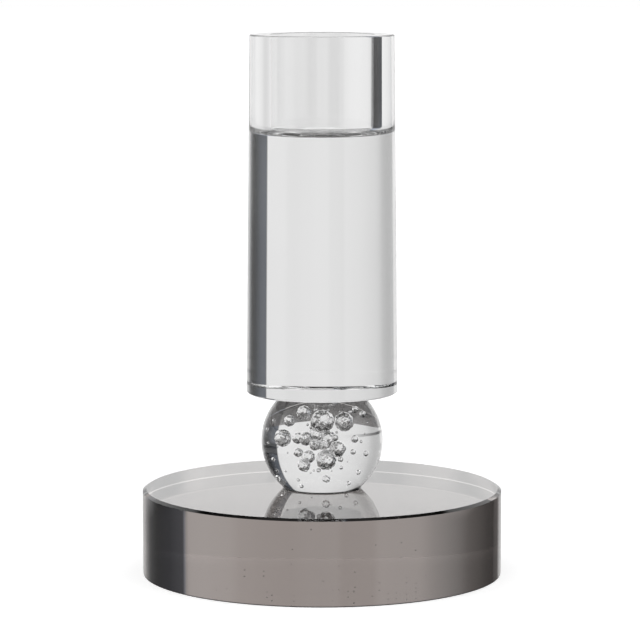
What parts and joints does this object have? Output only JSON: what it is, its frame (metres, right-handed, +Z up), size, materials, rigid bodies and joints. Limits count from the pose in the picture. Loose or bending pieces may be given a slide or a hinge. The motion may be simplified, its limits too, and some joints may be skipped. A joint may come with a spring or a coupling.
{
  "type": "glass candlestick",
  "caption": "Glass candlestick: a tall clear glass cup with a blind candle pocket, bonded through a bubbled clear glass ball to a thick smoked glass disc.",
  "frame": {"origin": "centre of the underside of the base disc, on the surface the candlestick stands on", "axes": "+Z up along the common axis of the disc, ball and cup; the shape is round, so +X and +Y are free"},
  "size_m": [0.09, 0.09, 0.1346],
  "materials": {
    "smoked_glass": "polished, grey-brown smoked glass with a few fine seeds",
    "adhesive_film": "clear cured adhesive film",
    "bubble_glass": "polished clear glass full of air bubbles",
    "clear_glass": "polished clear glass"
  },
  "bodies": {
    "root": {"base_disc": "smoked_glass", "base_bond": "adhesive_film", "bubble_ball": "bubble_glass", "cup_bond": "adhesive_film", "candle_cup": "clear_glass"}
  },
  "joints": []
}
